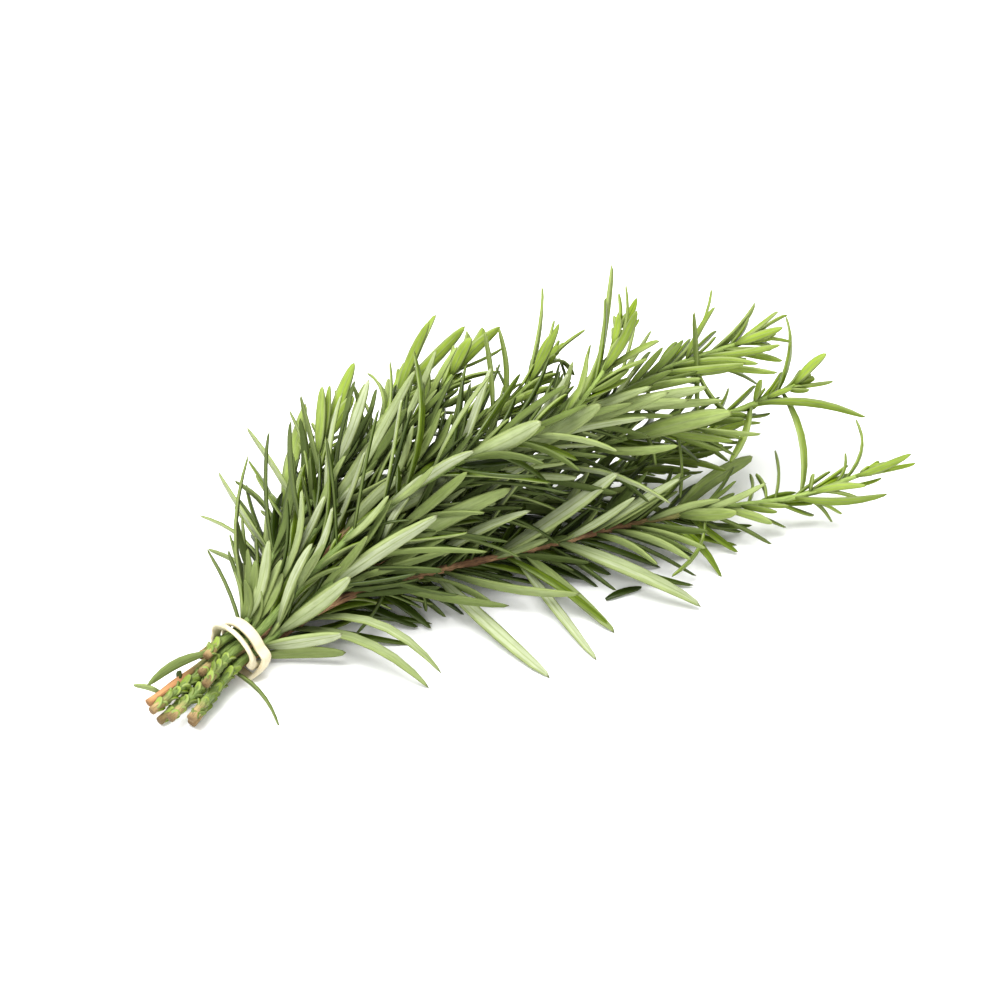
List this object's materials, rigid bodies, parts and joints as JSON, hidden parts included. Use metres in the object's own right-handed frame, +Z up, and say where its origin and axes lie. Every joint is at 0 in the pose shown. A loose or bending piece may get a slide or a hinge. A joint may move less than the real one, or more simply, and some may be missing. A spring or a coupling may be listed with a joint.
{
  "type": "tied bunch of rosemary sprigs",
  "caption": "Bunch of cut rosemary sprigs lying down, needle leaves on woody stems that fan out from a rubber band wound round their lower ends.",
  "frame": {"origin": "Middle of the bunch's footprint, on the surface that it lies on.", "axes": "+X runs from the cut ends to the leafy tips, +Z is up, and +Y completes the right-handed set."},
  "size_m": [0.1692, 0.0992, 0.066],
  "materials": {
    "band": "cream latex, matte with a slight sheen",
    "leaf": "fresh evergreen needle leaves, satin green above and pale grey green below, on green to brown woody stems"
  },
  "bodies": {
    "root": {"rubber_band": "band", "sprig_front": "leaf", "sprig_under": "leaf", "sprig_right": "leaf", "sprig_upper_right": "leaf", "sprig_crest": "leaf", "sprig_middle": "leaf", "sprig_upper_middle": "leaf", "sprig_upper_left": "leaf", "sprig_left": "leaf", "sprig_far_left": "leaf"}
  },
  "joints": []
}
